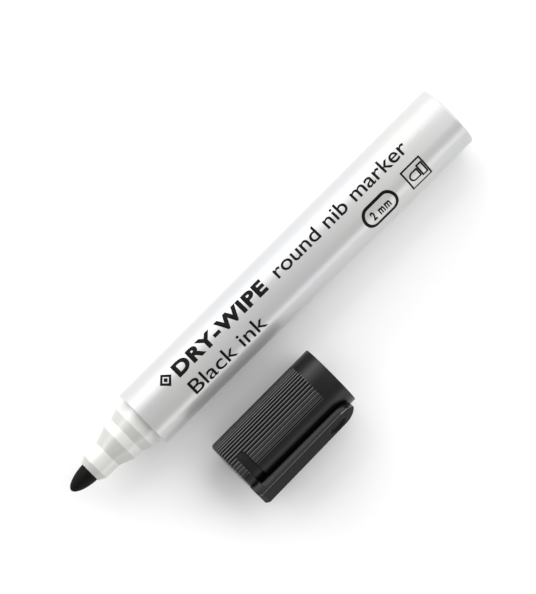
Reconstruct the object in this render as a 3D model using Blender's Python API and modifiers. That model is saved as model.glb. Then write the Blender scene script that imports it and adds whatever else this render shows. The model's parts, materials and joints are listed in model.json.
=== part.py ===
"""A whiteboard marker with its cap off, lying beside the barrel.

Lengths are in metres. Every turned piece is drawn as a profile of (radius, height) points, where height
runs along the pen from the nib (low) to the tail (high) and 0 is the barrel's front face. In the cap,
height 0 is the closed end and the mouth is at CAP_LENGTH. The row frame has +X along the pen towards its
tail and +Z up, with the origin at the middle of the bottom of the bounding box.
"""

import math

import bmesh
import bpy
from mathutils import Matrix, Vector

# Roundness: the cap's ribs and its clip both fall on this many even steps.
STEPS = 56
FIT_GAP = 0.0001
SHARP_ANGLE = math.radians(30)
# How far cutters run past the surface they cut
CUT_PAST = 0.001

# Barrel
BARREL_LENGTH = 0.1063
BARREL_FRONT_RADIUS = 0.0082
BARREL_TAIL_RADIUS = 0.00865
BARREL_TAIL_ROUND = 0.0008
BARREL_FRONT_ROUND = 0.00025
BARREL_BORE_RADIUS = 0.0071
SEAT_RADIUS = 0.00645
SEAT_DEPTH = 0.0095

# Nib holder: cylinders joined by two cones and a chamfered lip
HOLDER_TAIL = 0.009
COLLAR_RADIUS = 0.00635
COLLAR_FRONT = -0.00295
NECK_RADIUS = 0.0055
NECK_TAIL = -0.00555
NECK_FRONT = -0.0081
NOSE_RADIUS = 0.0039
NOSE_TAIL = -0.01215
NOSE_FRONT = -0.0165
LIP_RADIUS = 0.00295
LIP_FRONT = -0.0183
HOLDER_INNER_RADIUS = 0.0053

# Felt nib and the ink reservoir that feeds it
NIB_RADIUS = 0.0026
NIB_TIP = -0.0248
NIB_TAIL = 0.016
NIB_SHAPE = 1.7
NIB_STEPS = 7
RESERVOIR_RADIUS = 0.0064
RESERVOIR_FRONT = 0.0098
RESERVOIR_TAIL = 0.097
WRAP_THICKNESS = 0.00015

# End plug
PLUG_DEPTH = 0.0085
PLUG_WALL = 0.0012
PLUG_CHAMFER = 0.0004

# Cap shell
CAP_LENGTH = 0.03395
CAP_MOUTH_RADIUS = 0.00848
CAP_END_RADIUS = 0.00833
CAP_BAND = 0.0056
CAP_END_ROUND = 0.0009
CAP_END_DOME = 0.0004
CAP_BORE_RADIUS = 0.007
CAP_END_WALL = 0.0032
CAP_MOUTH_CHAMFER = 0.0003

# Ribs are what stays between V-shaped grooves, away from the clip. A groove is cut by a square rod's corner.
RIB_PITCH = 360 / STEPS
GROOVE_COUNT = 42
GROOVE_RADIUS = 0.00042
GROOVE_LIFT = 0.00012
GROOVE_SIDES = 4

# Recess that runs round the cap and under the clip
RECESS_START = 0.0028
RECESS_WIDTH = 0.0025
RECESS_HALF_ANGLE = 82
RECESS_FLOOR_RADIUS = 0.0078
RECESS_END_SIDES = 16

# Liner that seals on the nib holder's neck
LINER_MOUTH = 0.0035
LINER_MOUTH_RADIUS = 0.00645
LINER_SEAL_RADIUS = 0.0056
LINER_SEAL_DEPTH = 0.0095
LINER_NOSE_RADIUS = 0.0045
LINER_NOSE_DEPTH = 0.0125
LINER_STEP_DEPTH = 0.0115
LINER_WALL = 0.0009
LINER_END_DEPTH = 0.0285

# Clip
CLIP_HALF_WIDTH = 0.0031
CLIP_ROOT_OUTER = 0.0115
CLIP_OUTER = 0.01095
CLIP_INNER = 0.00878
CLIP_START = 0.0002
CLIP_ROOT_END = 0.0027
CLIP_TIP = 0.03215
CLIP_TIP_ROUND = 0.0042
CLIP_TIP_SLOPE = 0.0006
CLIP_SLANT = 0.0009
CLIP_EDGE = 0.0003
CLIP_ROOT_GAP = 0.00015
CLIP_ROOT_SINK = 0.001
CLIP_TIP_STEPS = 12
CLIP_BEVEL_ANGLE = math.radians(50)
DISH_CENTRE = 0.0261
DISH_LENGTH = 0.0058
DISH_WIDTH = 0.0044
DISH_DEPTH = 0.0004
DISH_SEGMENTS = 24
DISH_RINGS = 12

# Where the cap lies: its clip leans away from the barrel by a whole number of steps
CLIP_LEAN = math.radians(10 * RIB_PITCH)
CAP_CLOSED_END = 0.0066
CAP_OFFSET = 0.02487


def clear_scene():
    for obj in list(bpy.data.objects):
        bpy.data.objects.remove(obj)


def new_collection(name, hidden=False):
    collection = bpy.data.collections.new(name)
    collection.hide_render = hidden
    bpy.context.scene.collection.children.link(collection)
    return collection


def new_material(name, color, roughness, metallic=0.0):
    material = bpy.data.materials.new(name)
    material.use_nodes = True
    shader = material.node_tree.nodes["Principled BSDF"]
    shader.inputs["Base Color"].default_value = (*color, 1)
    shader.inputs["Roughness"].default_value = roughness
    shader.inputs["Metallic"].default_value = metallic
    return material


def arc(centre, radius, start, end, steps):
    """Points of a profile's round corner. Angle 0 points away from the axis and 90 towards the tail."""
    angles = [math.radians(start + (end - start) * i / steps) for i in range(steps + 1)]
    return [(centre[0] + radius * math.cos(a), centre[1] + radius * math.sin(a)) for a in angles]


def turned(name, profile, closed, collection):
    """A profile turned about local Z. A closed profile makes a ring, an open one starts and ends on the axis."""
    edges = [(i, i + 1) for i in range(len(profile) - 1)]
    if closed:
        edges.append((len(profile) - 1, 0))
    mesh = bpy.data.meshes.new(name)
    mesh.from_pydata([(radius, 0, height) for radius, height in profile], edges, [])
    obj = bpy.data.objects.new(name, mesh)
    collection.objects.link(obj)
    screw = obj.modifiers.new("Turn", "SCREW")
    screw.angle = math.tau
    screw.steps = STEPS
    screw.render_steps = STEPS
    screw.use_merge_vertices = True
    screw.merge_threshold = 1e-6
    screw.use_smooth_shade = True
    return obj


def evaluated_mesh(obj):
    graph = bpy.context.evaluated_depsgraph_get()
    return bpy.data.meshes.new_from_object(obj.evaluated_get(graph), depsgraph=graph)


def slab(name, outline, thickness, x_to, y_to, collection):
    """A flat outline with thickness either side of it. Its x and y are laid along the given directions."""
    curve = bpy.data.curves.new(name, "CURVE")
    curve.dimensions = "2D"
    curve.fill_mode = "BOTH"
    curve.extrude = thickness / 2
    spline = curve.splines.new("POLY")
    spline.points.add(len(outline) - 1)
    for point, (x, y) in zip(spline.points, outline):
        point.co = (x, y, 0, 1)
    spline.use_cyclic_u = True
    drawn = bpy.data.objects.new(name + "_outline", curve)
    collection.objects.link(drawn)
    mesh = evaluated_mesh(drawn)
    bpy.data.objects.remove(drawn)

    work = bmesh.new()
    work.from_mesh(mesh)
    bmesh.ops.remove_doubles(work, verts=work.verts, dist=1e-6)
    work.to_mesh(mesh)
    work.free()
    x_to, y_to = Vector(x_to), Vector(y_to)
    mesh.transform(Matrix((x_to, y_to, x_to.cross(y_to))).transposed().to_4x4())
    obj = bpy.data.objects.new(name, mesh)
    collection.objects.link(obj)
    return obj


def rods(name, radius, length, sides, places, collection):
    """Separate rods in one mesh, each centred on its place's matrix and running along its Z."""
    work = bmesh.new()
    for place in places:
        bmesh.ops.create_cone(
            work, cap_ends=True, segments=sides, radius1=radius, radius2=radius, depth=length, matrix=place
        )
    mesh = bpy.data.meshes.new(name)
    work.to_mesh(mesh)
    work.free()
    obj = bpy.data.objects.new(name, mesh)
    collection.objects.link(obj)
    return obj


def boolean(obj, operation, other):
    other.display_type = "WIRE"
    other.hide_render = True
    modifier = obj.modifiers.new(operation.title(), "BOOLEAN")
    modifier.operation = operation
    modifier.solver = "EXACT"
    modifier.object = other


def finish(obj, material, parent):
    """Turns the modifiers into plain mesh, shades it smooth between its sharp edges and sets its material."""
    mesh = evaluated_mesh(obj)
    obj.modifiers.clear()
    obj.data = mesh
    mesh.name = obj.name
    mesh.shade_smooth()
    mesh.set_sharp_from_angle(angle=SHARP_ANGLE)
    mesh.materials.clear()
    mesh.materials.append(material)
    obj.parent = parent


def new_empty(name, parent, place, collection):
    empty = bpy.data.objects.new(name, None)
    empty.empty_display_size = 0.01
    empty.parent = parent
    empty.matrix_local = place
    collection.objects.link(empty)
    return empty


def axis_place(lean, origin):
    """The frame of a turned assembly: local Z along the pen towards its tail, local X leaning from up."""
    local_x = Vector((0, -math.sin(lean), math.cos(lean)))
    local_z = Vector((1, 0, 0))
    turn = Matrix((local_x, local_z.cross(local_x), local_z)).transposed().to_4x4()
    return Matrix.Translation(origin) @ turn


def make_barrel(parts):
    tail, front = BARREL_TAIL_ROUND, BARREL_FRONT_ROUND
    profile = [(BARREL_BORE_RADIUS, BARREL_LENGTH)]
    profile += arc((BARREL_TAIL_RADIUS - tail, BARREL_LENGTH - tail), tail, 90, 0, 3)
    profile += arc((BARREL_FRONT_RADIUS - front, front), front, 0, -90, 2)
    profile += [(SEAT_RADIUS, 0), (SEAT_RADIUS, SEAT_DEPTH), (BARREL_BORE_RADIUS, SEAT_DEPTH)]
    return turned("barrel", profile, True, parts)


def make_end_plug(parts):
    radius = BARREL_BORE_RADIUS - FIT_GAP
    inner = radius - PLUG_WALL
    profile = [
        (0, BARREL_LENGTH),
        (radius - PLUG_CHAMFER, BARREL_LENGTH),
        (radius, BARREL_LENGTH - PLUG_CHAMFER),
        (radius, BARREL_LENGTH - PLUG_DEPTH),
        (inner, BARREL_LENGTH - PLUG_DEPTH),
        (inner, BARREL_LENGTH - PLUG_WALL),
        (0, BARREL_LENGTH - PLUG_WALL),
    ]
    return turned("end_plug", profile, False, parts)


def make_nib_holder(parts):
    bore = NIB_RADIUS + FIT_GAP
    profile = [
        (COLLAR_RADIUS, HOLDER_TAIL),
        (COLLAR_RADIUS, COLLAR_FRONT),
        (NECK_RADIUS, NECK_TAIL),
        (NECK_RADIUS, NECK_FRONT),
        (NOSE_RADIUS, NOSE_TAIL),
        (NOSE_RADIUS, NOSE_FRONT),
        (LIP_RADIUS, LIP_FRONT),
        (bore, LIP_FRONT),
        (bore, NECK_TAIL),
        (HOLDER_INNER_RADIUS, COLLAR_FRONT),
        (HOLDER_INNER_RADIUS, HOLDER_TAIL),
    ]
    return turned("nib_holder", profile, True, parts)


def make_nib(parts):
    length = LIP_FRONT - NIB_TIP
    bullet = []
    for i in range(NIB_STEPS):
        along = math.sin(math.radians(90 * i / NIB_STEPS))
        bullet.append((NIB_RADIUS * math.sqrt(1 - along**NIB_SHAPE), LIP_FRONT - length * along))
    profile = [(0, NIB_TAIL), (NIB_RADIUS, NIB_TAIL)] + bullet + [(0, NIB_TIP)]
    return turned("nib", profile, False, parts)


def make_ink_reservoir(parts):
    socket = NIB_RADIUS + FIT_GAP
    socket_end = NIB_TAIL + FIT_GAP
    profile = [
        (0, RESERVOIR_TAIL),
        (RESERVOIR_RADIUS, RESERVOIR_TAIL),
        (RESERVOIR_RADIUS, RESERVOIR_FRONT),
        (socket, RESERVOIR_FRONT),
        (socket, socket_end),
        (0, socket_end),
    ]
    return turned("ink_reservoir", profile, False, parts)


def make_reservoir_wrap(parts):
    inner = RESERVOIR_RADIUS + FIT_GAP
    outer = inner + WRAP_THICKNESS
    profile = [
        (inner, RESERVOIR_TAIL),
        (outer, RESERVOIR_TAIL),
        (outer, RESERVOIR_FRONT),
        (inner, RESERVOIR_FRONT),
    ]
    return turned("reservoir_wrap", profile, True, parts)


def cap_radius(height):
    """The cap's outside radius, which grows evenly from the closed end to the mouth."""
    return CAP_END_RADIUS + (CAP_MOUTH_RADIUS - CAP_END_RADIUS) * height / CAP_LENGTH


def cap_outline():
    """The cap's whole profile: up the bore, over the mouth, down the outside and across the domed end."""
    chamfer = CAP_MOUTH_CHAMFER
    end = CAP_END_RADIUS - CAP_END_ROUND
    profile = [(0, CAP_END_WALL), (CAP_BORE_RADIUS, CAP_END_WALL)]
    profile += [(CAP_BORE_RADIUS, CAP_LENGTH - chamfer), (CAP_BORE_RADIUS + chamfer, CAP_LENGTH)]
    profile += [(CAP_MOUTH_RADIUS - chamfer, CAP_LENGTH), (CAP_MOUTH_RADIUS, CAP_LENGTH - chamfer)]
    profile += arc((end, CAP_END_DOME + CAP_END_ROUND), CAP_END_ROUND, 0, -90, 3)
    for share in (2 / 3, 1 / 3, 0):
        profile.append((end * share, CAP_END_DOME * share**2))
    return profile


def make_groove_cutter(cutters):
    """Square rods laid along the cap's side, a corner inwards, from past its closed end to its smooth band."""
    length = CAP_LENGTH - CAP_BAND + CUT_PAST
    middle = length / 2 - CUT_PAST
    taper = math.atan2(CAP_MOUTH_RADIUS - CAP_END_RADIUS, CAP_LENGTH)
    first = 180 - RIB_PITCH * (GROOVE_COUNT - 1) / 2
    places = []
    for i in range(GROOVE_COUNT):
        turn = Matrix.Rotation(math.radians(first + RIB_PITCH * i), 4, "Z")
        outward = Matrix.Translation((cap_radius(middle) + GROOVE_LIFT, 0, middle))
        places.append(turn @ outward @ Matrix.Rotation(taper, 4, "Y"))
    return rods("groove_cutter", GROOVE_RADIUS, length, GROOVE_SIDES, places, cutters)


def make_recess_cutters(cutters):
    """A ring with a wedge taken out of it, and the rods that round off its two ends."""
    outside = CAP_MOUTH_RADIUS + CUT_PAST
    top = RECESS_START + RECESS_WIDTH
    ring_profile = [
        (RECESS_FLOOR_RADIUS, top),
        (outside, top),
        (outside, RECESS_START),
        (RECESS_FLOOR_RADIUS, RECESS_START),
    ]
    ring = turned("recess_cutter", ring_profile, True, cutters)
    end_radius = RECESS_WIDTH / 2
    end_angle = math.radians(RECESS_HALF_ANGLE) - end_radius / CAP_END_RADIUS
    reach = 3 * outside
    wedge_outline = [
        (0, 0),
        (reach * math.cos(end_angle), reach * math.sin(end_angle)),
        (-reach, reach),
        (-reach, -reach),
        (reach * math.cos(end_angle), -reach * math.sin(end_angle)),
    ]
    boolean(ring, "DIFFERENCE", slab("recess_wedge", wedge_outline, 4 * top, (1, 0, 0), (0, 1, 0), cutters))

    length = outside - RECESS_FLOOR_RADIUS
    places = []
    for side in (-1, 1):
        turn = Matrix.Rotation(side * end_angle, 4, "Z")
        outward = Matrix.Translation((RECESS_FLOOR_RADIUS + length / 2, 0, RECESS_START + end_radius))
        places.append(turn @ outward @ Matrix.Rotation(math.radians(90), 4, "Y"))
    return ring, rods("recess_end_cutter", end_radius, length, RECESS_END_SIDES, places, cutters)


def make_cap_shell(parts, cutters):
    shell = turned("cap_shell", cap_outline(), False, parts)
    boolean(shell, "DIFFERENCE", make_groove_cutter(cutters))
    for cutter in make_recess_cutters(cutters):
        boolean(shell, "DIFFERENCE", cutter)
    return shell


def make_cap_liner(parts):
    outer = CAP_BORE_RADIUS - FIT_GAP
    slim = LINER_NOSE_RADIUS + LINER_WALL
    points = [
        (0, LINER_END_DEPTH - LINER_WALL),
        (LINER_NOSE_RADIUS, LINER_END_DEPTH - LINER_WALL),
        (LINER_NOSE_RADIUS, LINER_NOSE_DEPTH),
        (LINER_SEAL_RADIUS, LINER_SEAL_DEPTH),
        (LINER_SEAL_RADIUS, -NECK_TAIL),
        (LINER_MOUTH_RADIUS, LINER_MOUTH),
        (outer, LINER_MOUTH),
        (outer, LINER_SEAL_DEPTH),
        (slim, LINER_STEP_DEPTH),
        (slim, LINER_END_DEPTH),
        (0, LINER_END_DEPTH),
    ]
    profile = [(radius, CAP_LENGTH - depth) for radius, depth in points]
    return turned("cap_liner", profile, False, parts)


def clip_side():
    """The clip seen from the side, as (distance from the cap's axis, height)."""
    root_foot = CAP_END_RADIUS - CLIP_ROOT_SINK
    return [
        (root_foot, CLIP_START),
        (CLIP_ROOT_OUTER - CLIP_SLANT, CLIP_START),
        (CLIP_ROOT_OUTER, CLIP_START + CLIP_SLANT),
        (CLIP_OUTER, CLIP_TIP - CLIP_TIP_ROUND),
        (CLIP_OUTER - CLIP_TIP_SLOPE, CLIP_TIP),
        (CLIP_INNER, CLIP_TIP),
        (CLIP_INNER, CLIP_ROOT_END),
        (root_foot, CLIP_ROOT_END),
    ]


def clip_plan():
    """The clip seen from outside, as (sideways, height): straight sides and a half-ellipse for the tip."""
    outline = [(-CLIP_HALF_WIDTH, CLIP_START), (CLIP_HALF_WIDTH, CLIP_START)]
    for i in range(CLIP_TIP_STEPS + 1):
        angle = math.pi * i / CLIP_TIP_STEPS
        height = CLIP_TIP - CLIP_TIP_ROUND * (1 - math.sin(angle))
        outline.append((CLIP_HALF_WIDTH * math.cos(angle), height))
    return outline


def make_cap_clip(parts, cutters):
    clip = slab("cap_clip", clip_side(), 3 * CLIP_HALF_WIDTH, (1, 0, 0), (0, 0, 1), parts)
    plan = slab("clip_plan", clip_plan(), 4 * CLIP_OUTER, (0, 1, 0), (0, 0, 1), cutters)
    boolean(clip, "INTERSECT", plan)

    reach = cap_radius(CLIP_ROOT_END) + CLIP_ROOT_GAP
    saddle_profile = [(0, CLIP_TIP), (reach, CLIP_TIP), (reach, -CLIP_ROOT_END), (0, -CLIP_ROOT_END)]
    boolean(clip, "DIFFERENCE", turned("clip_saddle", saddle_profile, False, cutters))

    work = bmesh.new()
    bmesh.ops.create_uvsphere(work, u_segments=DISH_SEGMENTS, v_segments=DISH_RINGS, radius=1)
    size = Matrix.Diagonal((2 * DISH_DEPTH, DISH_WIDTH / math.sqrt(3), DISH_LENGTH / math.sqrt(3), 1))
    bmesh.ops.transform(
        work, matrix=Matrix.Translation((CLIP_OUTER + DISH_DEPTH, 0, DISH_CENTRE)) @ size, verts=work.verts
    )
    mesh = bpy.data.meshes.new("clip_dish")
    work.to_mesh(mesh)
    work.free()
    dish = bpy.data.objects.new("clip_dish", mesh)
    cutters.objects.link(dish)
    boolean(clip, "DIFFERENCE", dish)

    bevel = clip.modifiers.new("Edges", "BEVEL")
    bevel.width = CLIP_EDGE
    bevel.segments = 2
    bevel.limit_method = "ANGLE"
    bevel.angle_limit = CLIP_BEVEL_ANGLE
    return clip


def stand_on_origin(root, objects):
    """Moves the assembly so that the middle of the bottom of its bounding box is the origin."""
    bpy.context.view_layer.update()
    points = [obj.matrix_world @ vertex.co for obj in objects for vertex in obj.data.vertices]
    low = Vector(min(point[i] for point in points) for i in range(3))
    high = Vector(max(point[i] for point in points) for i in range(3))
    root.location = -Vector(((low.x + high.x) / 2, (low.y + high.y) / 2, low.z))
    bpy.context.view_layer.update()


def build():
    clear_scene()
    parts = new_collection("whiteboard_marker")
    cutters = new_collection("cutters", hidden=True)

    pearl = new_material("pearl_plastic", (0.78, 0.79, 0.80), 0.3, 0.3)
    grey = new_material("plug_plastic", (0.62, 0.63, 0.64), 0.45)
    ivory = new_material("ivory_plastic", (0.80, 0.80, 0.76), 0.35)
    felt = new_material("inked_felt", (0.01, 0.01, 0.01), 0.9)
    fibre = new_material("reservoir_fibre", (0.05, 0.05, 0.06), 0.95)
    film = new_material("reservoir_film", (0.85, 0.85, 0.85), 0.3)
    black = new_material("cap_plastic", (0.012, 0.012, 0.013), 0.45)
    seal = new_material("liner_plastic", (0.6, 0.6, 0.6), 0.5)

    root = new_empty("marker", None, Matrix.Identity(4), parts)
    pen = new_empty("pen_axis", root, axis_place(0, (0, 0, BARREL_TAIL_RADIUS)), parts)
    cap_place = axis_place(CLIP_LEAN, (CAP_CLOSED_END, -CAP_OFFSET, CAP_MOUTH_RADIUS))
    cap = new_empty("cap_axis", root, cap_place, parts)
    pivot = Vector((CAP_END_RADIUS, 0, (CLIP_START + CLIP_ROOT_END) / 2))
    clip_pivot = new_empty("clip_pivot", cap, Matrix.Translation(pivot), parts)

    finish(make_barrel(parts), pearl, pen)
    finish(make_end_plug(parts), grey, pen)
    finish(make_nib_holder(parts), ivory, pen)
    finish(make_nib(parts), felt, pen)
    finish(make_ink_reservoir(parts), fibre, pen)
    finish(make_reservoir_wrap(parts), film, pen)
    finish(make_cap_shell(parts, cutters), black, cap)
    finish(make_cap_liner(parts), seal, cap)
    clip = make_cap_clip(parts, cutters)
    finish(clip, black, clip_pivot)
    clip.location = -pivot

    stand_on_origin(root, [obj for obj in parts.objects if obj.type == "MESH"])


build()
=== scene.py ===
"""A whiteboard marker with its cap off: fine meshes, procedural materials, prints, light and camera."""

import json
import math

import bmesh
import bpy
from mathutils import Matrix, Vector


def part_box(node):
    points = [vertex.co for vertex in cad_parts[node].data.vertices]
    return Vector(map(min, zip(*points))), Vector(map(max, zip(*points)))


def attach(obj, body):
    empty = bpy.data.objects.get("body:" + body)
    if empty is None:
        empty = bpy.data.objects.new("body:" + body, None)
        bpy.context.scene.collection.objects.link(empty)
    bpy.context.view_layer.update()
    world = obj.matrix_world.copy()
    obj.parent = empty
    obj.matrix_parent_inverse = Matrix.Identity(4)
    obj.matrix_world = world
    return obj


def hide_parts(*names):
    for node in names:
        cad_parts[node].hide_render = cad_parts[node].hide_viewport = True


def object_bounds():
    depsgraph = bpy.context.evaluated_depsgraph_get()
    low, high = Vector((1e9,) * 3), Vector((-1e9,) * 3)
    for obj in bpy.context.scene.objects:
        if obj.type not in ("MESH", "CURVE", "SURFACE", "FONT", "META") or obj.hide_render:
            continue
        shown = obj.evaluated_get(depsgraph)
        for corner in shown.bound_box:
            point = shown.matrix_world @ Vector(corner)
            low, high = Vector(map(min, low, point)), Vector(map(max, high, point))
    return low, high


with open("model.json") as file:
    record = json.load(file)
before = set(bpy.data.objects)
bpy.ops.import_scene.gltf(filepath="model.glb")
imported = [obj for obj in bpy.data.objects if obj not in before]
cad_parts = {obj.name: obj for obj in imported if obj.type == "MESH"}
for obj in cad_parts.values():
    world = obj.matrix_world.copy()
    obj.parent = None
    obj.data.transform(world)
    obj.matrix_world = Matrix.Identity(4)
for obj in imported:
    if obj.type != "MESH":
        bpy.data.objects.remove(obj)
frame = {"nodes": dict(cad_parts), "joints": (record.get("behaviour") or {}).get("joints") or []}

MM = 0.001
CAD_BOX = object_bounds()

# ---------------------------------------------------------------- places, read from the frame

BARREL_LOW, BARREL_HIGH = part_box("barrel")
NIB_LOW, NIB_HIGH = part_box("nib")
CAP_LOW, CAP_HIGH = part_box("cap_shell")
CLIP_AXIS = next(joint["axis"] for joint in frame["joints"] if joint["name"] == "clip_flex")

PEN_ORIGIN = Vector((BARREL_LOW.x, (BARREL_LOW.y + BARREL_HIGH.y) / 2, (BARREL_LOW.z + BARREL_HIGH.z) / 2))
CAP_ORIGIN = Vector((CAP_LOW.x, (CAP_LOW.y + CAP_HIGH.y) / 2, (CAP_LOW.z + CAP_HIGH.z) / 2))
CAP_LENGTH = CAP_HIGH.x - CAP_LOW.x
BARREL_LENGTH = BARREL_HIGH.x - BARREL_LOW.x


def axis_place(origin, up):
    """Local Z along +X, local X along up. Profiles and wrapped prints are laid out in this frame."""
    along = Vector((1, 0, 0))
    up = Vector(up).normalized()
    turn = Matrix((up, along.cross(up), along)).transposed().to_4x4()
    return Matrix.Translation(origin) @ turn


PEN_PLACE = axis_place(PEN_ORIGIN, (0, 0, 1))
CLIP_OUTWARD = Vector(CLIP_AXIS).cross((1, 0, 0)).normalized()
CAP_PLACE = axis_place(CAP_ORIGIN, CLIP_OUTWARD)

# ---------------------------------------------------------------- sizes of the pen, from the barrel's front

FIT_GAP = 0.1 * MM
BARREL_FRONT_RADIUS = 8.2 * MM
BARREL_TAIL_RADIUS = (BARREL_HIGH.z - BARREL_LOW.z) / 2
BORE_RADIUS = 7.1 * MM
SEAT_RADIUS = 6.45 * MM
SEAT_DEPTH = 9.5 * MM

PLUG_DEPTH = 8.5 * MM
PLUG_WALL = 1.2 * MM
GATE_RADIUS = 1.2 * MM
GATE_DEPTH = 0.12 * MM

HOLDER_TAIL = 9.0 * MM
HOLDER_INNER_RADIUS = 5.3 * MM
COLLAR_RADIUS = 6.35 * MM
COLLAR_FRONT = -2.95 * MM
NECK_RADIUS = 5.5 * MM
NECK_BACK = -5.55 * MM
NECK_FRONT = -8.1 * MM
NOSE_RADIUS = 3.9 * MM
NOSE_BACK = -12.15 * MM
NOSE_FRONT = -16.5 * MM
LIP_RADIUS = 2.95 * MM
LIP_FRONT = -18.3 * MM
STEP_ROUNDING = 0.09 * MM
CONE_NORMALS = (-0.9, -0.1)

NIB_TIP = NIB_LOW.x - BARREL_LOW.x
NIB_TAIL = NIB_HIGH.x - BARREL_LOW.x
NIB_RADIUS = (NIB_HIGH.z - NIB_LOW.z) / 2
NIB_FULLNESS = 1.7
NIB_STEPS = 25

# ---------------------------------------------------------------- sizes of the cap, from its closed end

MOUTH_RADIUS = 8.48 * MM
END_RADIUS = 8.33 * MM
END_DOME = 0.4 * MM
END_ROUND = 0.9 * MM
CAP_BORE = 7.0 * MM
CAP_FLOOR = 3.2 * MM
OUTER_WALL = END_RADIUS - 0.75 * MM
BAND_START = CAP_LENGTH - 5.6 * MM

RIB_STEPS = 56
RIB_PITCH = 2 * math.pi / RIB_STEPS
RIB_COUNT = 41
RIB_DEPTH = 0.34 * MM
RIB_POINTS = 16
RIB_CROWDING = 0.8
RIB_END = BAND_START + 0.02 * MM
RIB_RUN_OUT = BAND_START - 0.16 * MM
GROOVE_SHARE = 0.33

RECESS_LOW = 2.8 * MM
RECESS_HIGH = 5.3 * MM
RECESS_FLOOR = 7.8 * MM
RECESS_ANGLE = math.radians(82)
RECESS_EDGE = 0.06 * MM

LINER_OUTER = 6.9 * MM
LINER_MOUTH = 6.45 * MM
LINER_SEAL = 5.6 * MM
LINER_TUBE = 5.4 * MM
LINER_BORE = 4.5 * MM

CLIP_HALF_WIDTH = 3.1 * MM
CLIP_ROOT_OUTER = 11.5 * MM
CLIP_OUTER = 10.95 * MM
CLIP_INNER = 8.78 * MM
CLIP_START = 0.2 * MM
CLIP_START_SLANT = 0.9 * MM
CLIP_ROOT_END = 2.7 * MM
CLIP_ROOT_SINK = 1.4 * MM
CLIP_ROOT_EDGE = 0.12 * MM
CLIP_TIP = 32.15 * MM
CLIP_TIP_ROUND = 4.2 * MM
CLIP_TIP_FALL = 0.6 * MM
CLIP_TIP_LIFT = 0.15 * MM
CLIP_TIP_FLAT = 0.02
CLIP_CORNER = 0.32 * MM
CLIP_FACE_STEPS = 20
CLIP_CORNER_STEPS = 5
CLIP_EDGE_NORMAL = 0.15
CLIP_FACE_NORMAL = 0.8

DISH_CENTRE = 26.1 * MM
DISH_HALF_LENGTH = 2.9 * MM
DISH_HALF_WIDTH = 2.2 * MM
DISH_DEPTH = 0.42 * MM
DISH_FLAT = 0.62
DISH_START = 23.0 * MM
DISH_END = 29.3 * MM

# ---------------------------------------------------------------- mesh tools

TURNED_STEPS = 144
ARC_STEPS = 5
ARC_REACH = 0.49
ON_AXIS = 1e-7
SHARP_ANGLE = math.radians(50)


def add_object(name, mesh, place):
    mesh.transform(place)
    obj = bpy.data.objects.new(name, mesh)
    bpy.context.scene.collection.objects.link(obj)
    return obj


def finished(name, work, place):
    """The object of a bmesh, smooth but for its sharp edges."""
    bmesh.ops.recalc_face_normals(work, faces=work.faces)
    mesh = bpy.data.meshes.new(name)
    work.to_mesh(mesh)
    work.free()
    mesh.shade_smooth()
    mesh.set_sharp_from_angle(angle=SHARP_ANGLE)
    return add_object(name, mesh, place)


def smooth_step(low, high, value):
    share = min(max((value - low) / (high - low), 0), 1)
    return share * share * (3 - 2 * share)


def spaced(low, high, count):
    """Evenly spaced values, both ends included."""
    return [low + (high - low) * i / (count - 1) for i in range(count)]


def rounded(corners):
    """A profile of (radius, height) from corners of (radius, height, rounding), each corner made an arc that
    takes up at most ARC_REACH of the side before it and of the side after it."""
    points = []
    for i, (radius, height, size) in enumerate(corners):
        here = Vector((radius, height))
        if size == 0:
            points.append((radius, height))
            continue
        before = Vector(corners[i - 1][:2]) - here
        after = Vector(corners[(i + 1) % len(corners)][:2]) - here
        half = before.angle(after) / 2
        reach = min(size / math.tan(half), ARC_REACH * before.length, ARC_REACH * after.length)
        centre = here + (before.normalized() + after.normalized()).normalized() * reach / math.cos(half)
        first = here + before.normalized() * reach - centre
        sweep = first.angle_signed(here + after.normalized() * reach - centre)
        for k in range(ARC_STEPS + 1):
            points.append(tuple(centre + Matrix.Rotation(-sweep * k / ARC_STEPS, 2) @ first))
    return points


def lathe(name, profile, place, closed=False, angles=None, shape=None):
    """A profile turned about local Z. shape(radius, height, angle) may press a pattern into its radius."""
    angles = angles or [2 * math.pi * i / TURNED_STEPS for i in range(TURNED_STEPS)]
    work = bmesh.new()
    rings = []
    for radius, height in profile:
        if radius < ON_AXIS:
            rings.append([work.verts.new((0, 0, height))] * len(angles))
            continue
        ring = []
        for angle in angles:
            reach = shape(radius, height, angle) if shape else radius
            ring.append(work.verts.new((reach * math.cos(angle), reach * math.sin(angle), height)))
        rings.append(ring)
    pairs = list(zip(rings, rings[1:]))
    if closed:
        pairs.append((rings[-1], rings[0]))
    for upper, lower in pairs:
        for i in range(len(angles)):
            k = (i + 1) % len(angles)
            corners = [upper[i], upper[k], lower[k], lower[i]]
            work.faces.new(list(dict.fromkeys(corners)))
    return finished(name, work, place)


def loft(name, sections, place):
    """A closed skin over sections of equally many points, with flat ends."""
    work = bmesh.new()
    rings = [[work.verts.new(point) for point in section] for section in sections]
    for lower, upper in zip(rings, rings[1:]):
        for i in range(len(lower)):
            k = (i + 1) % len(lower)
            work.faces.new((lower[i], lower[k], upper[k], upper[i]))
    work.faces.new(rings[0])
    work.faces.new(rings[-1])
    return finished(name, work, place)


# ---------------------------------------------------------------- materials

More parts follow.
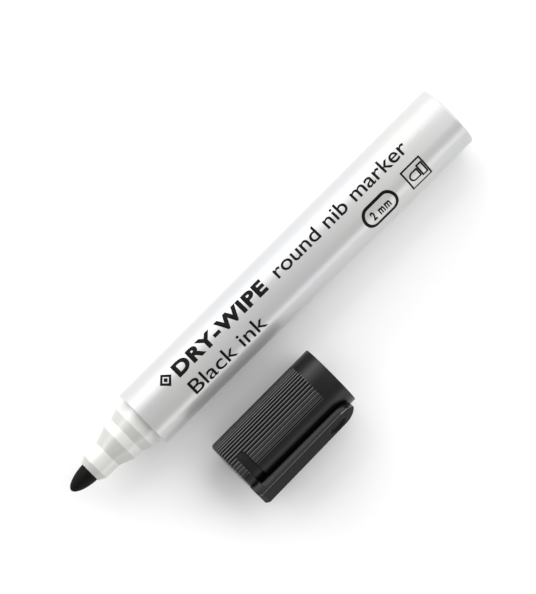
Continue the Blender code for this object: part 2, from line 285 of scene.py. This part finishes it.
class Nodes:
    """Short calls for building one material's nodes."""

    def __init__(self, name):
        self.material = bpy.data.materials.new(name)
        self.material.use_nodes = True
        self.tree = self.material.node_tree
        self.shader = self.tree.nodes["Principled BSDF"]
        self.place = self.tree.nodes.new("ShaderNodeTexCoord").outputs["Object"]

    def add(self, kind, settings=None, **inputs):
        node = self.tree.nodes.new("ShaderNode" + kind)
        for key, value in (settings or {}).items():
            setattr(node, key, value)
        for key, value in inputs.items():
            self.set(node, key.replace("_", " "), value)
        return node

    def set(self, node, key, value):
        socket = node.inputs[key]
        if isinstance(value, bpy.types.NodeSocket):
            self.tree.links.new(value, socket)
        else:
            socket.default_value = value

    def surface(self, **inputs):
        for key, value in inputs.items():
            self.set(self.shader, key.replace("_", " "), value)
        return self.material

    def noise(self, scale, stretch=(1, 1, 1), detail=3.0):
        """Noise over the object's own place, in metres, squeezed by stretch."""
        mapped = self.add("Mapping", Vector=self.place, Scale=stretch)
        made = self.add("TexNoise", Vector=mapped.outputs[0], Scale=scale, Detail=detail, Roughness=0.55)
        return made.outputs["Fac"]

    def ramp(self, value, *stops):
        """A colour for each stop of (position, colour)."""
        node = self.add("ValToRGB", Fac=value)
        marks = node.color_ramp.elements
        marks[0].position, marks[1].position = stops[0][0], stops[-1][0]
        for position, _ in stops[1:-1]:
            marks.new(position)
        for mark, (_, color) in zip(marks, stops):
            mark.color = (*color, 1)
        return node.outputs["Color"]

    def span(self, value, low, high):
        """A number from low to high as value goes from 0 to 1."""
        return self.add("MapRange", Value=value, To_Min=low, To_Max=high).outputs[0]

    def bump(self, height, distance, strength, normal=None):
        node = self.add("Bump", Height=height, Distance=distance, Strength=strength)
        if normal:
            self.set(node, "Normal", normal)
        return node.outputs["Normal"]


def grey(value):
    return (value, value, value)


def pearl_plastic():
    """Silver-white moulding: fine flakes, flow lines along the pen and a faint play of colour."""
    n = Nodes("pearl_plastic")
    flakes = n.noise(9000, detail=2)
    flow = n.noise(260, stretch=(0.06, 1, 1))
    hue = n.noise(55, stretch=(0.5, 1, 1))
    tint = n.ramp(hue, (0.3, (0.57, 0.57, 0.555)), (0.5, (0.56, 0.56, 0.565)), (0.7, (0.55, 0.555, 0.565)))
    sparkle = n.ramp(flakes, (0.35, grey(0.86)), (0.65, grey(1.0)))
    shade = n.add("MixRGB", {"blend_type": "MULTIPLY"}, Fac=0.25, Color1=tint, Color2=sparkle)
    n.set(n.shader, "Normal", n.bump(flow, 0.01 * MM, 0.25, n.bump(flakes, 0.004 * MM, 0.2)))
    return n.surface(Base_Color=shade.outputs[0], Metallic=0.38, Roughness=n.span(flow, 0.28, 0.36), IOR=1.38)


def holder_plastic(name, shade):
    """Ivory polypropylene with a fine moulded grain. The cones get a darker copy of it: painted shade for
    faces that turn away from the light.
    """
    n = Nodes(name)
    cloud = n.noise(420)
    grain = n.noise(9000, detail=2)
    color = n.ramp(cloud, (0.3, (shade, shade, 0.96 * shade)), (0.7, (1.03 * shade, 1.03 * shade, shade)))
    n.set(n.shader, "Normal", n.bump(grain, 0.002 * MM, 0.2))
    return n.surface(Base_Color=color, Roughness=n.span(grain, 0.26, 0.32), Metallic=0.1)


def plug_plastic():
    n = Nodes("plug_plastic")
    grain = n.noise(4200)
    color = n.ramp(n.noise(300), (0.3, grey(0.60)), (0.7, grey(0.66)))
    n.set(n.shader, "Normal", n.bump(grain, 0.02 * MM, 0.4))
    return n.surface(Base_Color=color, Roughness=n.span(grain, 0.38, 0.55))


def felt():
    """Pressed fibre soaked with ink: matted strands, mostly along the nib, with a wet sheen between them."""
    n = Nodes("inked_felt")
    strands = n.noise(2600, stretch=(0.22, 1, 1), detail=5)
    pits = n.add("TexVoronoi", Vector=n.place, Scale=3200).outputs["Distance"]
    color = n.ramp(strands, (0.3, grey(0.001)), (0.75, grey(0.005)))
    n.set(n.shader, "Normal", n.bump(strands, 0.09 * MM, 0.7, n.bump(pits, 0.06 * MM, 0.5)))
    return n.surface(Base_Color=color, Roughness=n.span(strands, 0.45, 0.75), IOR=1.2)


def cap_plastic(name, index, roughness, grain_depth=0.01 * MM):
    """Black polypropylene with a fine spark-eroded grain. A low index makes its faces reflect less, which
    paints shade into the cap's grooves and onto the clip's face; a high one paints a highlight on the clip's
    edges.
    """
    n = Nodes(name)
    grain = n.noise(5200)
    broad = n.noise(180)
    color = n.ramp(broad, (0.35, grey(0.002)), (0.65, grey(0.003)))
    n.set(n.shader, "Normal", n.bump(grain, grain_depth, 0.5))
    return n.surface(Base_Color=color, Roughness=n.span(grain, roughness, roughness + 0.07), IOR=index)


def liner_plastic():
    n = Nodes("liner_plastic")
    grain = n.noise(3800)
    color = n.ramp(n.noise(240), (0.3, grey(0.030)), (0.7, grey(0.042)))
    n.set(n.shader, "Normal", n.bump(grain, 0.01 * MM, 0.4))
    return n.surface(Base_Color=color, Roughness=n.span(grain, 0.30, 0.45))


def reservoir_fibre():
    n = Nodes("reservoir_fibre")
    strands = n.noise(1800, stretch=(0.03, 1, 1), detail=4)
    color = n.ramp(strands, (0.3, grey(0.012)), (0.7, grey(0.06)))
    n.set(n.shader, "Normal", n.bump(strands, 0.12 * MM, 0.8))
    return n.surface(Base_Color=color, Roughness=n.span(strands, 0.7, 0.95))


def reservoir_film():
    n = Nodes("reservoir_film")
    wrinkles = n.noise(300, stretch=(0.3, 1, 1))
    color = n.ramp(wrinkles, (0.3, grey(0.72)), (0.7, grey(0.82)))
    n.set(n.shader, "Normal", n.bump(wrinkles, 0.08 * MM, 0.5))
    return n.surface(Base_Color=color, Roughness=n.span(wrinkles, 0.15, 0.3), Transmission_Weight=0.3)


def print_ink():
    """Screen-printed black, a little uneven where it lies on the pearl."""
    n = Nodes("print_ink")
    mottle = n.noise(2400)
    color = n.ramp(mottle, (0.3, grey(0.002)), (0.7, grey(0.004)))
    return n.surface(Base_Color=color, Roughness=n.span(mottle, 0.4, 0.6), IOR=1.2)


# ---------------------------------------------------------------- pen

def barrel_radius(height):
    return BARREL_FRONT_RADIUS + (BARREL_TAIL_RADIUS - BARREL_FRONT_RADIUS) * height / BARREL_LENGTH


def make_barrel():
    corners = [
        (BORE_RADIUS, BARREL_LENGTH, 0.2 * MM),
        (BARREL_TAIL_RADIUS, BARREL_LENGTH, 0.5 * MM),
        (BARREL_FRONT_RADIUS, 0, 0.22 * MM),
        (SEAT_RADIUS, 0, 0.15 * MM),
        (SEAT_RADIUS, SEAT_DEPTH, 0),
        (BORE_RADIUS, SEAT_DEPTH, 0),
    ]
    return lathe("barrel_tube", rounded(corners), PEN_PLACE, closed=True)


def make_end_plug():
    """A cup pressed into the tail, with the round mark of its mould's gate in the middle of its face."""
    radius = BORE_RADIUS - FIT_GAP
    inner = radius - PLUG_WALL
    top = BARREL_LENGTH
    corners = [
        (0, top, 0),
        (GATE_RADIUS - 0.1 * MM, top, 0.1 * MM),
        (GATE_RADIUS, top - GATE_DEPTH, 0.1 * MM),
        (GATE_RADIUS + 0.3 * MM, top - GATE_DEPTH, 0.1 * MM),
        (GATE_RADIUS + 0.4 * MM, top, 0.1 * MM),
        (radius, top, 0.35 * MM),
        (radius, top - PLUG_DEPTH, 0.2 * MM),
        (inner, top - PLUG_DEPTH, 0.2 * MM),
        (inner, top - PLUG_WALL, 0.3 * MM),
        (0, top - PLUG_WALL, 0),
    ]
    return lathe("tail_plug", rounded(corners), PEN_PLACE)


def make_nib_holder():
    bore = NIB_RADIUS + FIT_GAP
    corners = [
        (COLLAR_RADIUS, HOLDER_TAIL, 0.2 * MM),
        (COLLAR_RADIUS, COLLAR_FRONT, STEP_ROUNDING),
        (NECK_RADIUS, NECK_BACK, STEP_ROUNDING),
        (NECK_RADIUS, NECK_FRONT, STEP_ROUNDING),
        (NOSE_RADIUS, NOSE_BACK, STEP_ROUNDING),
        (NOSE_RADIUS, NOSE_FRONT, 2 * STEP_ROUNDING),
        (LIP_RADIUS, LIP_FRONT, 0.08 * MM),
        (bore, LIP_FRONT, 0.05 * MM),
        (bore, NECK_BACK - 0.05 * MM, 0),
        (HOLDER_INNER_RADIUS, COLLAR_FRONT, 0.3 * MM),
        (HOLDER_INNER_RADIUS, HOLDER_TAIL, 0.2 * MM),
    ]
    return lathe("nib_holder_nose", rounded(corners), PEN_PLACE, closed=True)


def make_nib():
    length = LIP_FRONT - NIB_TIP
    profile = [(0, NIB_TAIL), (NIB_RADIUS, NIB_TAIL), (NIB_RADIUS, LIP_FRONT + 1 * MM)]
    for i in range(NIB_STEPS):
        along = math.sin(math.pi / 2 * i / NIB_STEPS)
        profile.append((NIB_RADIUS * math.sqrt(1 - along**NIB_FULLNESS), LIP_FRONT - length * along))
    profile.append((0, NIB_TIP))
    return lathe("felt_nib", profile, PEN_PLACE)


# ---------------------------------------------------------------- cap

def rib_angles():
    """Angles round the cap, closer together where a rib's crest is."""
    steps = spaced(-1, 1, RIB_POINTS + 1)[:-1]
    shares = [0.5 * (1 + math.copysign(abs(x) ** RIB_CROWDING, x)) for x in steps]
    return [RIB_PITCH * (i + share) for i in range(RIB_STEPS) for share in shares]


def rib_fall(angle):
    """How far below a rib's crest the ribbed surface lies. Ribs are round, with a sharp valley between two of
    them, and their crests fall on whole pitches from angle 180."""
    turn = angle % (2 * math.pi) - math.pi
    if abs(turn) > RIB_PITCH * (RIB_COUNT + 1) / 2:
        return 0
    half = END_RADIUS * RIB_PITCH / 2
    bead = (half**2 + RIB_DEPTH**2) / (2 * RIB_DEPTH)
    from_crest = abs((turn / RIB_PITCH + 0.5) % 1 - 0.5) * 2 * half
    return bead - math.sqrt(bead**2 - from_crest**2)


def cap_radius(height):
    return END_RADIUS + (MOUTH_RADIUS - END_RADIUS) * height / CAP_LENGTH


def recess_share(height, angle):
    """1 on the floor of the pill-shaped recess that runs round the cap under the clip, 0 outside it."""
    half_width = (RECESS_HIGH - RECESS_LOW) / 2
    turn = abs((angle + math.pi) % (2 * math.pi) - math.pi)
    past_end = max(END_RADIUS * (turn - RECESS_ANGLE) + half_width, 0)
    from_spine = math.hypot(past_end, height - (RECESS_LOW + RECESS_HIGH) / 2)
    return smooth_step(RECESS_EDGE, -RECESS_EDGE, from_spine - half_width)


def cap_shape(radius, height, angle):
    """Presses the ribs and the recess into the cap's outer wall and leaves its other surfaces alone."""
    if radius < OUTER_WALL:
        return radius
    radius -= rib_fall(angle) * smooth_step(RIB_END, RIB_RUN_OUT, height)
    share = recess_share(height, angle)
    return radius + (min(radius, RECESS_FLOOR) - radius) * share


def make_cap_shell():
    end_radius = END_RADIUS - END_ROUND
    heights = spaced(BAND_START + 0.1 * MM, BAND_START - 0.3 * MM, 7)
    heights += spaced(BAND_START - 1 * MM, RECESS_HIGH + 0.4 * MM, 8)
    heights += spaced(RECESS_HIGH + 0.1 * MM, RECESS_LOW - 0.1 * MM, 45)
    heights += spaced(RECESS_LOW - 0.4 * MM, END_DOME + END_ROUND + 0.1 * MM, 5)

    band_end = BAND_START + 0.6 * MM
    outer = rounded([
        (CAP_BORE, CAP_LENGTH - 1 * MM, 0),
        (CAP_BORE, CAP_LENGTH, 0.35 * MM),
        (MOUTH_RADIUS, CAP_LENGTH, 0.16 * MM),
        (cap_radius(band_end), band_end, 0),
    ])
    outer += [(cap_radius(height), height) for height in heights]
    for turn in spaced(0, math.pi / 2, 7):
        outer.append((end_radius + END_ROUND * math.cos(turn), END_DOME + END_ROUND * (1 - math.sin(turn))))
    for share in spaced(0.9, 0, 9):
        outer.append((end_radius * share, END_DOME * share**2))
    inner = [(0, CAP_FLOOR), (CAP_BORE - 0.4 * MM, CAP_FLOOR), (CAP_BORE, CAP_FLOOR + 0.4 * MM)]
    return lathe("ribbed_cap", inner + outer, CAP_PLACE, angles=rib_angles(), shape=cap_shape)


def make_cap_liner():
    """A cup: a wide mouth on the shell's wall, a waist that seals on the holder's neck, and a narrow tube."""
    def at(depth):
        """The height that lies depth millimetres inside the mouth."""
        return CAP_LENGTH - depth * MM

    corners = [
        (0, at(27.6), 0),
        (LINER_BORE, at(27.6), 0.5 * MM),
        (LINER_BORE, at(12.5), 0.3 * MM),
        (LINER_SEAL, at(9.5), 0.3 * MM),
        (LINER_SEAL, at(5.55), 0.2 * MM),
        (LINER_MOUTH, at(3.5), 0.12 * MM),
        (LINER_OUTER, at(3.5), 0.12 * MM),
        (LINER_OUTER, at(9.5), 0.2 * MM),
        (LINER_TUBE, at(11.5), 0.2 * MM),
        (LINER_TUBE, at(28.5), 0.3 * MM),
        (0, at(28.5), 0),
    ]
    return lathe("sealing_liner", rounded(corners), CAP_PLACE)


def dish_depth(sideways, height):
    """The oval finger dish in the clip's outer face, near its tip."""
    across = sideways / DISH_HALF_WIDTH
    along = (height - DISH_CENTRE) / DISH_HALF_LENGTH
    return DISH_DEPTH * smooth_step(1.0, DISH_FLAT, math.hypot(across, along))


def clip_section(height, inset):
    """The clip's outline at one height: a rectangle with round corners, finely divided on its outer face."""
    past = max(height - (CLIP_TIP - CLIP_TIP_ROUND), 0) / CLIP_TIP_ROUND
    half = CLIP_HALF_WIDTH * math.sqrt(max(1 - past * past, CLIP_TIP_FLAT**2)) - inset
    corner = min(CLIP_CORNER, 0.9 * half)

    slant = CLIP_START_SLANT * (1 - smooth_step(CLIP_START - 0.5 * MM, CLIP_START + 1.3 * MM, height))
    taper = min(height / (CLIP_TIP - CLIP_TIP_ROUND), 1)
    outer = CLIP_ROOT_OUTER + (CLIP_OUTER - CLIP_ROOT_OUTER) * taper - slant - CLIP_TIP_FALL * past**2 - inset
    root = 1 - smooth_step(CLIP_ROOT_END - CLIP_ROOT_EDGE, CLIP_ROOT_END + CLIP_ROOT_EDGE, height)
    inner = CLIP_INNER - CLIP_ROOT_SINK * root + CLIP_TIP_LIFT * past**2

    def corner_point(middle, side, turn):
        return (middle + corner * math.cos(turn), side * (half - corner + corner * math.sin(turn)), height)

    points = []
    for i in range(CLIP_FACE_STEPS + 1):
        sideways = (half - corner) * (1 - 2 * i / CLIP_FACE_STEPS)
        points.append((outer - dish_depth(sideways, height), sideways, height))
    turns = [math.pi / 2 * k / CLIP_CORNER_STEPS for k in range(1, CLIP_CORNER_STEPS + 1)]
    points += [corner_point(outer - corner, -1, turn) for turn in turns]
    points += [corner_point(inner + corner, -1, math.pi / 2 + turn) for turn in turns]
    points.append((inner, 0, height))
    points += [corner_point(inner + corner, 1, math.pi / 2 + turn) for turn in reversed(turns)]
    points += [corner_point(outer - corner, 1, turn) for turn in reversed(turns)]
    return points


def make_cap_clip():
    starts = ((0, 0.14), (0.03, 0.06), (0.1, 0.01))
    stations = [(CLIP_START + shift * MM, inset * MM) for shift, inset in starts]
    heights = spaced(CLIP_START + 0.25 * MM, CLIP_ROOT_END - 0.2 * MM, 10)
    heights += spaced(CLIP_ROOT_END - CLIP_ROOT_EDGE, CLIP_ROOT_END + CLIP_ROOT_EDGE, 5)
    heights += spaced(CLIP_ROOT_END + 1 * MM, DISH_START - 0.3 * MM, 12)
    heights += spaced(DISH_START, DISH_END, 44)
    for turn in spaced(0.55, math.pi / 2, 22):
        height = CLIP_TIP - CLIP_TIP_ROUND * (1 - math.sin(turn))
        if height > DISH_END + 0.1 * MM:
            heights.append(height)
    stations += [(height, 0) for height in heights]
    return loft("pocket_clip", [clip_section(*station) for station in stations], CAP_PLACE)


# ---------------------------------------------------------------- prints on the barrel

PRINT_LIFT = 0.012 * MM
PRINT_THICKNESS = 0.012 * MM
CUT_SPACING = 0.35 * MM
MERGE_DISTANCE = 1e-6
OUTLINE_STEPS = 16
WIDTH_PRINT_SHARE = 0.42


def outline_curve(name, loops):
    """Filled flat outlines, each a closed list of (x, y). A loop inside another is a hole."""
    curve = bpy.data.curves.new(name, "CURVE")
    curve.dimensions = "2D"
    curve.fill_mode = "BOTH"
    for loop in loops:
        spline = curve.splines.new("POLY")
        spline.points.add(len(loop) - 1)
        for point, (x, y) in zip(spline.points, loop):
            point.co = (x, y, 0, 1)
        spline.use_cyclic_u = True
    return curve


def words_curve(name, words, weight=0.0, spacing=1.0):
    """Plain sans letters. weight thickens every stroke."""
    curve = bpy.data.curves.new(name, "FONT")
    curve.body = words
    curve.offset = weight
    curve.space_character = spacing
    curve.resolution_u = 6
    return curve


def flat_mesh(name, curve):
    """The curve's filled faces as a mesh."""
    drawn = bpy.data.objects.new(name + "_drawn", curve)
    bpy.context.scene.collection.objects.link(drawn)
    graph = bpy.context.evaluated_depsgraph_get()
    mesh = bpy.data.meshes.new_from_object(drawn.evaluated_get(graph), depsgraph=graph)
    bpy.data.objects.remove(drawn)
    return mesh


def print_on_barrel(name, curve, middle, size, facing):
    """Lays a flat drawing on the barrel. middle is its centre's height along the pen, size its length along
    the pen and its width round the barrel, and facing the angle of its centre from up, towards the cap."""
    mesh = flat_mesh(name, curve)
    work = bmesh.new()
    work.from_mesh(mesh)
    bmesh.ops.remove_doubles(work, verts=work.verts, dist=MERGE_DISTANCE)
    low = [min(vert.co[i] for vert in work.verts) for i in (0, 1)]
    high = [max(vert.co[i] for vert in work.verts) for i in (0, 1)]
    for vert in work.verts:
        x = ((vert.co.x - low[0]) / (high[0] - low[0]) - 0.5) * size[0]
        y = ((vert.co.y - low[1]) / (high[1] - low[1]) - 0.5) * size[1]
        vert.co = (x, y, 0)
    cuts = int(size[1] / CUT_SPACING) + 2
    for i in range(1, cuts):
        height = -size[1] / 2 + size[1] * i / cuts
        geometry = work.verts[:] + work.edges[:] + work.faces[:]
        bmesh.ops.bisect_plane(work, geom=geometry, plane_co=(0, height, 0), plane_no=(0, 1, 0))
    for vert in work.verts:
        height = middle + vert.co.x
        radius = barrel_radius(height) + PRINT_LIFT
        angle = facing - vert.co.y / barrel_radius(middle)
        vert.co = (radius * math.cos(angle), radius * math.sin(angle), height)
    bmesh.ops.recalc_face_normals(work, faces=work.faces)
    work.to_mesh(mesh)
    work.free()
    obj = add_object(name, mesh, PEN_PLACE)
    shell = obj.modifiers.new("Ink", "SOLIDIFY")
    shell.thickness = PRINT_THICKNESS
    shell.offset = 0
    return obj


def box_loop(half_x, half_y, centre=(0, 0)):
    corners = ((-1, -1), (1, -1), (1, 1), (-1, 1))
    return [(centre[0] + x * half_x, centre[1] + y * half_y) for x, y in corners]


def pill_loop(half_x, half_y):
    """A rectangle with half-round ends."""
    straight = half_x - half_y
    loop = []
    for side in (1, -1):
        for i in range(OUTLINE_STEPS + 1):
            turn = math.pi * (i / OUTLINE_STEPS - 0.5)
            loop.append((side * (straight + half_y * math.cos(turn)), side * half_y * math.sin(turn)))
    return loop


def pill_loops():
    """A pill-shaped frame."""
    return [pill_loop(1, 0.5), pill_loop(0.85, 0.37)]


def emblem_loops():
    """A plain mark: a diamond frame round a small diamond."""
    diamond = ((1, 0), (0, 1), (-1, 0), (0, -1))
    return [[(x * size, y * size) for x, y in diamond] for size in (1, 0.56, 0.34)]


def nib_sign_loops():
    """A sign for a round nib: a square frame, and in it the outline of a rounded tip in its holder. The
    numbers are shares of half the frame's side."""
    line = 0.14
    nib_back, nib_middle, nib_half = 0.25, -0.3, 0.42
    holder_middle, holder_length, holder_half = 0.55, 0.29, 0.58
    loops = [box_loop(1, 1), box_loop(1 - line, 1 - line)]
    for inset in (0, line):
        reach = nib_half - inset
        tip = [(nib_back - inset, reach), (nib_middle, reach)]
        for i in range(1, OUTLINE_STEPS):
            turn = math.pi * (0.5 + i / OUTLINE_STEPS)
            tip.append((nib_middle + reach * math.cos(turn), reach * math.sin(turn)))
        tip += [(nib_middle, -reach), (nib_back - inset, -reach)]
        loops.append(tip)
    for inset in (0, line):
        loops.append(box_loop(holder_length - inset, holder_half - inset, (holder_middle, 0)))
    return loops


def place_between(first, last):
    """Centre and length of a stretch of the pen given by its two heights in millimetres."""
    return (first + last) / 2 * MM, (last - first) * MM


def make_prints():
    """Generic words and signs, in the places where such a marker carries its print."""
    def facing_between(upper, lower):
        """A row's facing and width, from how far its edges lie beside the pen's axis, in millimetres."""
        radius = barrel_radius(BARREL_LENGTH / 2) / MM
        first, last = math.asin(upper / radius), math.asin(lower / radius)
        return (first + last) / 2, (last - first) * radius * MM

    rows = {
        "top": facing_between(-4.4, -0.75),
        "emblem": facing_between(-4.7, -0.9),
        "second": facing_between(1.5, 5.15),
        "signs": facing_between(1.6, 6.9),
    }
    signs_facing, signs_width = rows["signs"]
    rows["width"] = (signs_facing, signs_width * WIDTH_PRINT_SHARE)
    made = []
    for name, curve, row, first, last in (
        ("emblem_print", outline_curve("emblem", emblem_loops()), "emblem", 8.7, 12.6),
        ("title_print", words_curve("title", "DRY-WIPE", 0.05, 1.12), "top", 13.6, 44.2),
        ("second_print", words_curve("second", "Black ink", 0.005), "second", 13.6, 38.1),
        ("kind_print", words_curve("kind", "round nib marker", 0.008), "top", 47.7, 92.6),
        ("pill_print", outline_curve("pill", pill_loops()), "signs", 72.0, 82.8),
        ("width_print", words_curve("width", "2 mm", 0.035, 1.15), "width", 74.4, 80.4),
        ("nib_sign_print", outline_curve("nib_sign", nib_sign_loops()), "signs", 86.7, 93.2),
    ):
        middle, length = place_between(first, last)
        facing, width = rows[row]
        made.append(print_on_barrel(name, curve, middle, (length, width), facing))
    return made


# ---------------------------------------------------------------- putting it together

def add_piece(obj, body, material, slot, *nodes):
    obj.data.materials.clear()
    obj.data.materials.append(material)
    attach(obj, body)
    if nodes:
        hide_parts(*nodes)


def give_faces(obj, place, material, chosen):
    """Gives material to the faces for which chosen(middle, normal) is true, both in the frame of place."""
    to_frame = place.inverted()
    obj.data.materials.append(material)
    slot = len(obj.data.materials) - 1
    for face in obj.data.polygons:
        if chosen(to_frame @ face.center, to_frame.to_3x3() @ face.normal):
            face.material_index = slot


def in_groove(middle, normal):
    """A face low between two ribs of the cap."""
    angle = math.atan2(middle.y, middle.x)
    outside = math.hypot(middle.x, middle.y) > OUTER_WALL
    ribbed = outside and middle.z < BAND_START and recess_share(middle.z, angle) < 0.5
    return ribbed and rib_fall(angle) > GROOVE_SHARE * RIB_DEPTH


def on_smooth_wall(middle, normal):
    """A face of the cap's outer wall with no ribs on it: the band, the recess or the field under the clip."""
    angle = math.atan2(middle.y, middle.x)
    outside = math.hypot(middle.x, middle.y) > OUTER_WALL
    plain = rib_fall(angle) == 0 or recess_share(middle.z, angle) > 0.5
    return outside and (plain or middle.z > BAND_START)


def on_clip_face(middle, normal):
    return normal.x > CLIP_FACE_NORMAL


def on_clip_edge(middle, normal):
    return CLIP_EDGE_NORMAL < normal.x <= CLIP_FACE_NORMAL


def on_cone(middle, normal):
    return CONE_NORMALS[0] < normal.z < CONE_NORMALS[1]


def add_holder():
    holder = make_nib_holder()
    add_piece(holder, "pen", holder_plastic("holder_plastic", 0.62), "holder_plastic", "nib_holder")
    # Painted shade: the cones get a darker copy of the holder's colour, standing in for the light they turn
    # away from.
    give_faces(holder, PEN_PLACE, holder_plastic("holder_cone_painted_shade", 0.505), on_cone)


def add_shell():
    ribs = cap_plastic("cap_plastic", index=1.72, roughness=0.13)
    smooth_wall = cap_plastic("smooth_wall_plastic", index=1.4, roughness=0.32)
    # Painted shade: the faces low between the ribs get a duller, low-index copy, standing in for the shade in
    # the grooves.
    groove = cap_plastic("groove_painted_shade", index=1.15, roughness=0.4)
    shell = make_cap_shell()
    add_piece(shell, "cap", ribs, "cap_plastic", "cap_shell")
    give_faces(shell, CAP_PLACE, smooth_wall, on_smooth_wall)
    give_faces(shell, CAP_PLACE, groove, in_groove)


def add_clip():
    clip_side = cap_plastic("clip_plastic", index=1.3, roughness=0.2, grain_depth=0.02 * MM)
    # Partly painted shade: the clip's outer face gets a rougher, low-index copy; its matt grain is real, its
    # lower reflection stands in for shade.
    clip_face = cap_plastic("clip_face_matt_and_painted_shade", index=1.14, roughness=0.36, grain_depth=0.02 * MM)
    # Painted highlight: a high-index copy makes the rounded edges between the clip's side and face shine as a
    # bright line.
    clip_edge = cap_plastic("clip_edge_painted_highlight", index=2.2, roughness=0.2)
    clip = make_cap_clip()
    add_piece(clip, "clip", clip_side, "cap_plastic", "cap_clip")
    give_faces(clip, CAP_PLACE, clip_face, on_clip_face)
    give_faces(clip, CAP_PLACE, clip_edge, on_clip_edge)


def add_pieces():
    add_holder()
    add_shell()
    add_clip()
    add_piece(make_barrel(), "pen", pearl_plastic(), "barrel_plastic", "barrel")
    add_piece(make_end_plug(), "pen", plug_plastic(), "plug_plastic", "end_plug")
    add_piece(make_nib(), "pen", felt(), "nib_felt", "nib")
    add_piece(make_cap_liner(), "cap", liner_plastic(), "liner_plastic", "cap_liner")
    ink = print_ink()
    for obj in make_prints():
        add_piece(obj, "pen", ink, "barrel_plastic")
    for node, material in (("ink_reservoir", reservoir_fibre()), ("reservoir_wrap", reservoir_film())):
        frame["nodes"][node].data.materials.clear()
        frame["nodes"][node].data.materials.append(material)


# ---------------------------------------------------------------- floor, light and camera

AXIS_TILT = math.radians(44.86)
CAMERA_DISTANCE = 0.9
CAMERA_LENS = 221.5
CAMERA_SENSOR = 36
VIEW_MIDDLE = 43.0 * MM
VIEW_ASIDE = -0.4 * MM
CAMERA_LEAN = math.radians(2.4)
CAMERA_NEAR = 0.05
FLOOR_HALF_SIZE = 6
WORLD_STRENGTH = 0.42


def make_floor():
    mesh = bpy.data.meshes.new("floor")
    work = bmesh.new()
    bmesh.ops.create_grid(work, x_segments=8, y_segments=8, size=FLOOR_HALF_SIZE)
    work.to_mesh(mesh)
    work.free()
    floor = add_object("floor", mesh, Matrix.Translation((0, 0, CAD_BOX[0].z)))
    n = Nodes("floor_paper")
    color = n.ramp(n.noise(3), (0.3, grey(0.93)), (0.7, grey(0.95)))
    floor.data.materials.append(n.surface(Base_Color=color, Roughness=0.9))


def make_light(name, power, size, distance, lean=0, along=0):
    """A soft box that looks at the marker. lean is its angle from up towards the cap's side, and along its
    angle from up towards the tail, both in degrees."""
    light = bpy.data.lights.new(name, "AREA")
    light.shape = "RECTANGLE"
    light.size, light.size_y = size
    light.energy = power
    obj = bpy.data.objects.new(name, light)
    lean = math.radians(lean)
    towards = Vector((math.tan(math.radians(along)), -math.sin(lean), math.cos(lean))).normalized()
    turn = Matrix((Vector((1, 0, 0)), towards.cross((1, 0, 0)).normalized(), towards))
    turn[0] = turn[1].cross(turn[2])
    obj.matrix_world = Matrix.Translation(towards * distance) @ turn.transposed().to_4x4()
    bpy.context.scene.collection.objects.link(obj)


def make_lights():
    make_light("key_light", power=6.6, size=(1.6, 0.86), distance=0.8, lean=-60)
    make_light("strip_light", power=2.2, size=(1.6, 0.12), distance=0.78, lean=-62)
    make_light("side_light", power=2.3, size=(1.6, 0.26), distance=0.7, lean=75)
    make_light("tail_light", power=40.0, size=(2.1, 3.0), distance=2.4, along=42)
    world = bpy.data.worlds.new("studio")
    world.use_nodes = True
    background = world.node_tree.nodes["Background"]
    background.inputs["Color"].default_value = (1, 1, 1, 1)
    background.inputs["Strength"].default_value = WORLD_STRENGTH
    bpy.context.scene.world = world


def make_camera():
    """Almost straight down, turned so that the pen runs from lower left to upper right."""
    camera = bpy.data.objects.new("camera", bpy.data.cameras.new("camera"))
    camera.data.lens = CAMERA_LENS
    camera.data.sensor_width = CAMERA_SENSOR
    camera.data.clip_start = CAMERA_NEAR
    target = PEN_ORIGIN + Vector((VIEW_MIDDLE, VIEW_ASIDE, 0))
    back = Vector((-math.sin(CAMERA_LEAN), 0, math.cos(CAMERA_LEAN)))
    level = Vector((math.cos(CAMERA_LEAN), 0, math.sin(CAMERA_LEAN)))
    aside = Vector((0, 1, 0))
    right = level * math.cos(AXIS_TILT) - aside * math.sin(AXIS_TILT)
    up = level * math.sin(AXIS_TILT) + aside * math.cos(AXIS_TILT)
    turn = Matrix((right, up, back)).transposed().to_4x4()
    camera.matrix_world = Matrix.Translation(target + back * CAMERA_DISTANCE) @ turn
    bpy.context.scene.collection.objects.link(camera)
    bpy.context.scene.camera = camera


add_pieces()
make_floor()
make_lights()
make_camera()
bpy.context.scene.view_settings.view_transform = "Standard"

bpy.context.view_layer.update()
